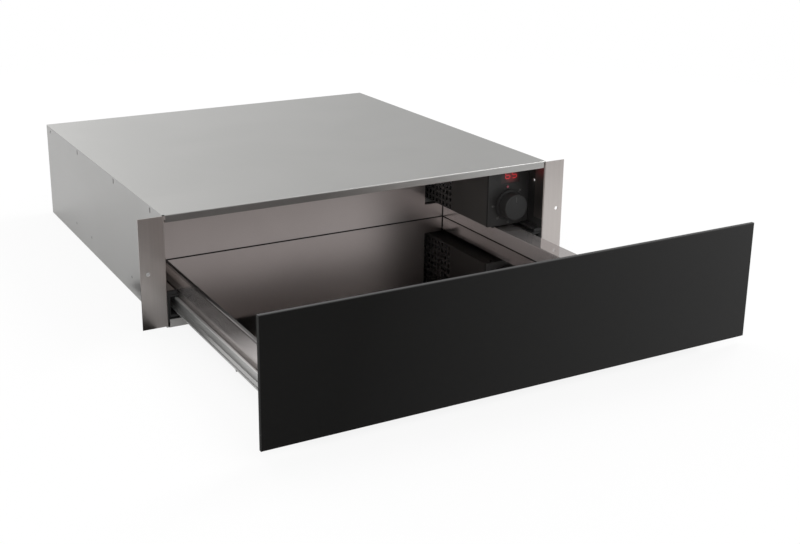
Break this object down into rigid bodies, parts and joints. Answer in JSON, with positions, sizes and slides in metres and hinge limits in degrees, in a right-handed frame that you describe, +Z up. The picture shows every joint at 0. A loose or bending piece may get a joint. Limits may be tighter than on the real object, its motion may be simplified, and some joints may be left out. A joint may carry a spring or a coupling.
{
  "type": "built-in warming drawer",
  "caption": "Built-in warming drawer, drawn out: steel housing with mounting flanges, black glass front, telescopic rails, control box with knob and display, fan heater.",
  "frame": {"origin": "middle of the housing's underside, under its midpoint from side to side and front to back", "axes": "+Z up, +X to the right as the user stands before the drawer, -Y out towards the user"},
  "size_m": [0.5952, 0.8839, 0.1422],
  "materials": {
    "housing_steel": "satin",
    "flange_steel": "brushed",
    "drawer_steel": "polished",
    "rail_steel": "zinc plated",
    "ball_steel": "polished",
    "dark_steel": "satin",
    "aluminium": "satin",
    "black_glass": "polished",
    "box_paint": "satin",
    "black_plastic": "matt",
    "knob_plastic": "satin",
    "grey_plastic": "matt",
    "window_plastic": "gloss",
    "lamp_plastic": "gloss",
    "board": "matt"
  },
  "bodies": {
    "housing": {"housing_base": "housing_steel", "left_side_panel": "housing_steel", "right_side_panel": "housing_steel", "top_cover": "housing_steel", "back_panel": "housing_steel", "left_mounting_flange": "flange_steel", "right_mounting_flange": "flange_steel", "rail_rivets": "dark_steel", "left_fixed_rail": "rail_steel", "right_fixed_rail": "rail_steel", "left_rail_guide": "black_plastic", "right_rail_guide": "black_plastic", "control_cover": "box_paint", "control_fascia": "black_plastic", "display_window": "window_plastic", "indicator_lens": "lamp_plastic", "control_board": "board", "display_module": "board", "temperature_selector": "black_plastic", "fan_plate": "housing_steel", "fan_motor": "dark_steel", "heating_element": "dark_steel", "thermal_cutout": "black_plastic", "latch_body": "black_plastic", "latch_spring": "ball_steel", "cable_gland": "black_plastic", "terminal_bracket": "housing_steel", "terminal_block": "grey_plastic"},
    "drawer": {"glass_front": "black_glass", "front_carrier": "drawer_steel", "inner_front_wall": "drawer_steel", "drawer_left_wall": "drawer_steel", "drawer_right_wall": "drawer_steel", "drawer_rear_wall": "drawer_steel", "drawer_pan": "housing_steel", "floor_bearers": "housing_steel", "drawer_floor": "drawer_steel", "left_drawer_rail": "rail_steel", "right_drawer_rail": "rail_steel", "latch_striker": "black_plastic"},
    "left_middle_member": {"left_middle_rail": "rail_steel", "left_rail_cap": "black_plastic"},
    "left_outer_ball_race": {"left_outer_cage": "rail_steel", "left_outer_balls": "ball_steel"},
    "left_inner_ball_race": {"left_inner_cage": "rail_steel", "left_inner_balls": "ball_steel"},
    "right_middle_member": {"right_middle_rail": "rail_steel", "right_rail_cap": "black_plastic"},
    "right_outer_ball_race": {"right_outer_cage": "rail_steel", "right_outer_balls": "ball_steel"},
    "right_inner_ball_race": {"right_inner_cage": "rail_steel", "right_inner_balls": "ball_steel"},
    "temperature_knob": {"knob": "knob_plastic", "knob_shaft": "ball_steel"},
    "fan_rotor": {"fan_impeller": "aluminium", "motor_shaft": "ball_steel"},
    "push_latch_plunger": {"latch_plunger": "grey_plastic"}
  },
  "joints": [
    {"name": "drawer_slide", "type": "slide", "parent": "housing", "child": "drawer", "axis": [0, -1, 0], "range_m": [-0.3332, 0.1]},
    {"name": "left_middle_member_slide", "type": "slide", "parent": "housing", "child": "left_middle_member", "axis": [0, -1, 0], "range_m": [-0.1676, 0.051]},
    {"name": "left_outer_ball_race_slide", "type": "slide", "parent": "housing", "child": "left_outer_ball_race", "axis": [0, -1, 0], "range_m": [-0.0843, 0.026]},
    {"name": "left_inner_ball_race_slide", "type": "slide", "parent": "housing", "child": "left_inner_ball_race", "axis": [0, -1, 0], "range_m": [-0.2509, 0.076]},
    {"name": "right_middle_member_slide", "type": "slide", "parent": "housing", "child": "right_middle_member", "axis": [0, -1, 0], "range_m": [-0.1676, 0.051]},
    {"name": "right_outer_ball_race_slide", "type": "slide", "parent": "housing", "child": "right_outer_ball_race", "axis": [0, -1, 0], "range_m": [-0.0843, 0.026]},
    {"name": "right_inner_ball_race_slide", "type": "slide", "parent": "housing", "child": "right_inner_ball_race", "axis": [0, -1, 0], "range_m": [-0.2509, 0.076]},
    {"name": "temperature_turn", "type": "hinge", "parent": "housing", "child": "temperature_knob", "pos_m": [0.2345, -0.23, 0.0735], "axis": [0, 1, 0], "range_deg": [0, 270]},
    {"name": "fan_spin", "type": "hinge", "parent": "housing", "child": "fan_rotor", "pos_m": [0.21, -0.0855, 0.0865], "axis": [1, 0, 0], "continuous": true},
    {"name": "push_latch_press", "type": "slide", "parent": "housing", "child": "push_latch_plunger", "axis": [0, 1, 0], "range_m": [0, 0.005], "stiffness_N_per_m": 600, "deforming": ["latch_spring"]}
  ],
  "couplings": [
    {"joint": "left_middle_member_slide", "follows": "drawer_slide", "ratio": 0.5},
    {"joint": "left_outer_ball_race_slide", "follows": "drawer_slide", "ratio": 0.25},
    {"joint": "left_inner_ball_race_slide", "follows": "drawer_slide", "ratio": 0.75},
    {"joint": "right_middle_member_slide", "follows": "drawer_slide", "ratio": 0.5},
    {"joint": "right_outer_ball_race_slide", "follows": "drawer_slide", "ratio": 0.25},
    {"joint": "right_inner_ball_race_slide", "follows": "drawer_slide", "ratio": 0.75}
  ]
}
